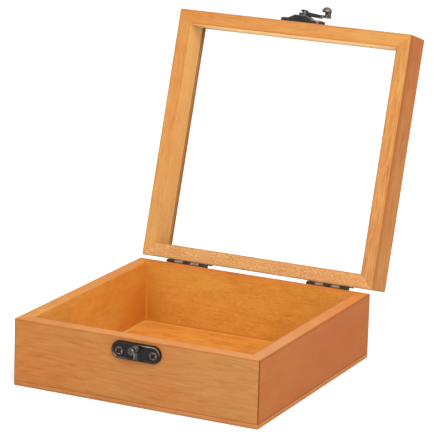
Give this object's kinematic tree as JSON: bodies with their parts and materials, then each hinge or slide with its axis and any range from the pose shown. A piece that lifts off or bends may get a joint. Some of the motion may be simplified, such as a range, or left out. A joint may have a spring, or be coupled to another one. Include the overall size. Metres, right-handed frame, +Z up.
{
  "type": "tabletop display case",
  "caption": "Square wooden tabletop display case with a hinged, glazed lid that stands open and a swing-hook latch on the front.",
  "frame": {"origin": "centre of the case's underside, where it stands on the table", "axes": "+Z up, -Y the front with the catch, +X the right side; the hinge line runs along X at the back"},
  "size_m": [0.15, 0.225, 0.1911],
  "materials": {
    "honey_wood": "honey stain under a thin satin lacquer, fine straight grain along each board",
    "clear_glass": "clear float glass, flat and polished",
    "dark_metal": "dark bronze plating, brighter where edges have worn",
    "screw_metal": "antiqued brass, dull"
  },
  "bodies": {
    "case": {"front_wall": "honey_wood", "back_wall": "honey_wood", "left_wall": "honey_wood", "right_wall": "honey_wood", "bottom_panel": "honey_wood", "catch_plate": "dark_metal", "catch_post": "dark_metal", "catch_screw_a": "screw_metal", "catch_screw_b": "screw_metal", "left_hinge_box_leaf": "dark_metal", "left_hinge_pin": "dark_metal", "left_hinge_box_screw_a": "screw_metal", "left_hinge_box_screw_b": "screw_metal", "right_hinge_box_leaf": "dark_metal", "right_hinge_pin": "dark_metal", "right_hinge_box_screw_a": "screw_metal", "right_hinge_box_screw_b": "screw_metal"},
    "lid": {"lid_front_rail": "honey_wood", "lid_back_rail": "honey_wood", "lid_left_rail": "honey_wood", "lid_right_rail": "honey_wood", "lid_glass": "clear_glass", "latch_plate": "dark_metal", "latch_rivet": "dark_metal", "latch_screw_a": "screw_metal", "latch_screw_b": "screw_metal", "left_hinge_lid_leaf": "dark_metal", "left_hinge_lid_screw_a": "screw_metal", "left_hinge_lid_screw_b": "screw_metal", "right_hinge_lid_leaf": "dark_metal", "right_hinge_lid_screw_a": "screw_metal", "right_hinge_lid_screw_b": "screw_metal"},
    "hook": {"latch_hook": "dark_metal"}
  },
  "joints": [
    {"name": "lid_hinge", "type": "hinge", "parent": "case", "child": "lid", "pos_m": [0, 0.0764, 0.0386], "axis": [1, 0, 0], "range_deg": [0, 107]},
    {"name": "hook_pivot", "type": "hinge", "parent": "lid", "child": "hook", "pos_m": [0.0018, 0.13137, 0.1866], "axis": [0, 0.2924, 0.9563], "range_deg": [-90, 180]}
  ]
}
